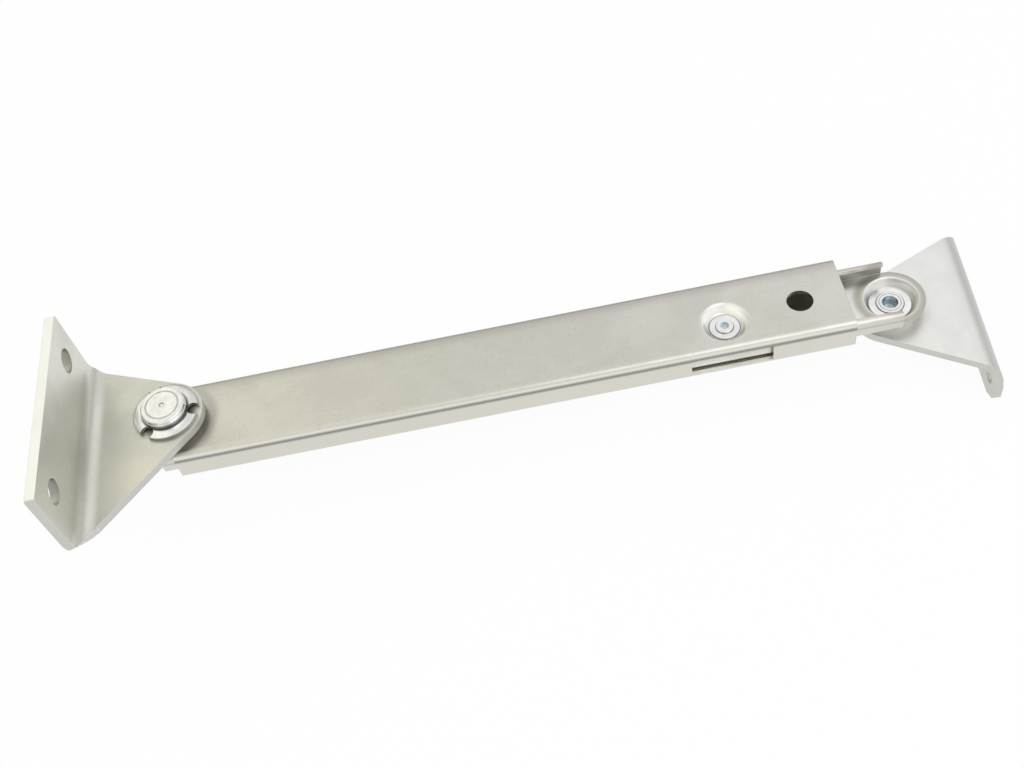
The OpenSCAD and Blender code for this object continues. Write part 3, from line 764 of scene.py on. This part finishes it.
class HOODSUPPORT_OT_rivets(bpy.types.Operator):
    """Bright zinc plate on rivets, washers and the stop stud"""
    bl_idname = "hoodsupport.rivets"
    bl_label = "Finish Rivets"

    def execute(self, context):
        s = context.scene.hood_support_finish
        plate = (s.rivet_light, s.rivet_dark, s.rivet_rough, s.edge_radius)
        dress(zinc_plate("Bright zinc", plate, **RIVET_LOOK),
              "body_tail_washer", "end_stop_stud", "hood_thrust_washer")
        for node, marks in self.marks(s).items():
            dress(zinc_plate(f"Bright zinc, {node}", plate, **RIVET_LOOK, marks=marks), node)
        return {"FINISHED"}

    def marks(self, s):
        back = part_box("notched_lock_washer")[0].z
        walls = [masked("Round Hollow", Axis=(x, y, back), Radius=NOTCH_WALL)
                 for x, y in notches(0.0)]
        return {
            "body_pivot_rivet": [
                # painted shade on the head's collar
                *rings(s.corner_shade, "body_pivot_rivet", BODY_COLLAR),
                # painted shade in the head's groove and round its pip
                *rings(s.soft_shade, "body_pivot_rivet", BODY_GROOVE, BODY_PIP),
            ],
            "notched_lock_washer": [
                # painted shade under the head and under the washer's rim
                *rings(s.corner_shade, "notched_lock_washer", UNDER_BODY_HEAD, LOCK_RIM),
                # painted shade on the dome's back-right side
                (s.soft_shade, facing(BACK_RIGHT, *DOME)),
                # painted shade on the notches' walls
                *((s.corner_shade, wall) for wall in walls),
            ],
            # painted shade under the pawl rivet's head
            "pawl_rivet_washer": rings(s.corner_shade, "pawl_rivet_washer", UNDER_PAWL_HEAD),
            # painted shade under the hood rivet's rolled end
            "hood_rivet_washer": rings(s.corner_shade, "hood_rivet_washer", UNDER_HOOD_ROLL),
            "pawl_rivet": [
                # painted shade line in the rolled end
                *rings(s.corner_shade, "pawl_rivet", ROLL_RING),
                (s.passivate, hollow("pawl_rivet", *PAWL_HOLLOW)),
            ],
            "hood_pivot_rivet": [
                # painted shade line in the rolled end
                *rings(s.corner_shade, "hood_pivot_rivet", ROLL_RING),
                (s.passivate, hollow("hood_pivot_rivet", *HOOD_HOLLOW)),
                # painted shade low in the hollow
                *rings(s.hollow_shade, "hood_pivot_rivet", HOOD_HOLLOW_RING),
            ],
        }


class HOODSUPPORT_OT_spring(bpy.types.Operator):
    """Drawn wire on the pawl's spring"""
    bl_idname = "hoodsupport.spring"
    bl_label = "Finish Spring"

    def execute(self, context):
        s = context.scene.hood_support_finish
        wire = (s.spring_light, s.spring_dark, s.spring_rough, s.edge_radius / SPRING_EDGE_PART)
        dress(zinc_plate("Drawn wire", wire, **SPRING_LOOK), "pawl_spring")
        return {"FINISHED"}


class HOODSUPPORT_OT_stage(bpy.types.Operator):
    """Pale floor, soft room light, softbox and camera"""
    bl_idname = "hoodsupport.stage"
    bl_label = "Set Up Studio"

    def execute(self, context):
        s = context.scene.hood_support_studio
        self.floor(context, s)
        self.room(context, s)
        self.softbox(context, s)
        self.camera(context, s)
        context.scene.view_settings.view_transform = "Standard"
        return {"FINISHED"}

    def floor(self, context, s):
        """Floor with a low wall round its edge"""
        shape = bmesh.new()
        bmesh.ops.create_grid(shape, x_segments=1, y_segments=1, size=s.floor_size)
        wall = bmesh.ops.extrude_edge_only(shape, edges=shape.edges)["geom"]
        rim = [part for part in wall if isinstance(part, bmesh.types.BMVert)]
        level = CAD_BOX[0][2] - s.floor_drop
        bmesh.ops.translate(shape, verts=rim, vec=(0.0, 0.0, s.wall_height))
        bmesh.ops.translate(shape, verts=shape.verts, vec=(FLOOR_MIDDLE, 0.0, level))
        mesh = bpy.data.meshes.new("studio_floor")
        shape.to_mesh(mesh)
        shape.free()
        mesh.materials.append(self.paper(s))
        floor = bpy.data.objects.new("studio_floor", mesh)
        context.collection.objects.link(floor)

    def paper(self, s):
        """Pale paper that is near white to the camera and in reflections, and keeps shadows"""
        material = bpy.data.materials.new("Studio floor")
        tree = blank(material)
        paper = add(tree, "ShaderNodeBsdfDiffuse", Color=(*s.floor_colour, 1.0))
        glow = add(tree, "ShaderNodeEmission", Strength=1.0)
        rays = add(tree, "ShaderNodeLightPath").outputs
        seen = calc(tree, "MAXIMUM", rays["Is Camera Ray"], rays["Is Glossy Ray"])
        seen = calc(tree, "MAXIMUM", seen, rays["Is Transmission Ray"])
        mix = add(tree, "ShaderNodeMixShader", Fac=calc(tree, "MULTIPLY", seen, FLOOR_GLOW))
        put(tree, paper.outputs["BSDF"], mix.inputs[1])
        put(tree, glow.outputs["Emission"], mix.inputs[2])
        add(tree, "ShaderNodeOutputMaterial", Surface=mix.outputs["Shader"])
        return material

    def room(self, context, s):
        """Pale room: warmer to the left, brighter at both ends, and darker low down behind"""
        world = bpy.data.worlds.new("Studio room")
        context.scene.world = world
        tree = blank(world)
        toward = split(tree, here(tree, "Generated"))
        left, right = ROOM_ACROSS
        across = add(tree, "ShaderNodeMapRange", Value=toward["X"], From_Min=left, From_Max=right)
        wall = add(tree, "ShaderNodeValToRGB", Fac=across.outputs["Result"])
        ramp = wall.color_ramp.elements
        while len(ramp) < len(ROOM_TINTS):
            ramp.new(1.0)
        for stop, (side, *tint) in zip(ramp, ROOM_TINTS):
            stop.position = side
            stop.color = (*tint, 1.0)
        behind = smooth(tree, toward["Y"], *ROOM_BEHIND)
        low = smooth(tree, toward["Z"], *ROOM_LOW, first=1.0, last=0.0)
        dim = calc(tree, "MULTIPLY", behind, low)
        loss = calc(tree, "MULTIPLY", dim, s.sky - s.back_sky)
        light = add(tree, "ShaderNodeBackground", Color=wall.outputs["Color"],
                    Strength=calc(tree, "SUBTRACT", s.sky, loss))
        add(tree, "ShaderNodeOutputWorld", Surface=light.outputs["Background"])

    def softbox(self, context, s):
        """Large softbox beside the camera, aimed at the middle of the channels"""
        lamp = bpy.data.lights.new("softbox", "AREA")
        lamp.shape = "RECTANGLE"
        lamp.size = s.softbox_width
        lamp.size_y = s.softbox_height
        lamp.energy = s.key_power
        softbox = bpy.data.objects.new("softbox", lamp)
        softbox.location = BODY_PIVOT + Vector(s.softbox_place)
        aim = BODY_PIVOT + Vector((SOFTBOX_AIM, 0.0, 0.0)) - softbox.location
        softbox.rotation_euler = aim.to_track_quat("-Z", "Y").to_euler()
        context.collection.objects.link(softbox)

    def camera(self, context, s):
        lens = bpy.data.cameras.new("photo_camera")
        lens.sensor_width = SENSOR_WIDTH
        lens.sensor_fit = "HORIZONTAL"
        lens.lens = s.lens
        lens.clip_start = CLIP_START
        lens.clip_end = CLIP_END
        camera = bpy.data.objects.new("photo_camera", lens)
        camera.location = s.camera_place
        camera.rotation_euler = s.camera_turn
        context.collection.objects.link(camera)
        context.scene.camera = camera


FINISHES = (HOODSUPPORT_OT_channels, HOODSUPPORT_OT_brackets, HOODSUPPORT_OT_rivets,
            HOODSUPPORT_OT_spring)
STUDIO = (HOODSUPPORT_OT_stage,)


class HOODSUPPORT_PT_sidebar(bpy.types.Panel):
    """Hood support finishes and studio"""
    bl_idname = "HOODSUPPORT_PT_sidebar"
    bl_label = "Hood Support"
    bl_space_type = "VIEW_3D"
    bl_region_type = "UI"
    bl_category = "Hood Support"

    def draw(self, context):
        for settings, operators in ((context.scene.hood_support_finish, FINISHES),
                                    (context.scene.hood_support_studio, STUDIO)):
            box = self.layout.box()
            for operator in operators:
                box.operator(operator.bl_idname)
            for key in settings.__annotations__:
                box.prop(settings, key)


CLASSES = (HoodSupportFinish, HoodSupportStudio, *FINISHES, *STUDIO, HOODSUPPORT_PT_sidebar)


def register():
    for cls in CLASSES:
        bpy.utils.register_class(cls)
    bpy.types.Scene.hood_support_finish = bpy.props.PointerProperty(type=HoodSupportFinish)
    bpy.types.Scene.hood_support_studio = bpy.props.PointerProperty(type=HoodSupportStudio)


def unregister():
    del bpy.types.Scene.hood_support_studio
    del bpy.types.Scene.hood_support_finish
    for cls in reversed(CLASSES):
        bpy.utils.unregister_class(cls)


def main():
    register()
    bpy.ops.hoodsupport.channels()
    bpy.ops.hoodsupport.brackets()
    bpy.ops.hoodsupport.rivets()
    bpy.ops.hoodsupport.spring()
    bpy.ops.hoodsupport.stage()


if __name__ == "__main__":
    main()
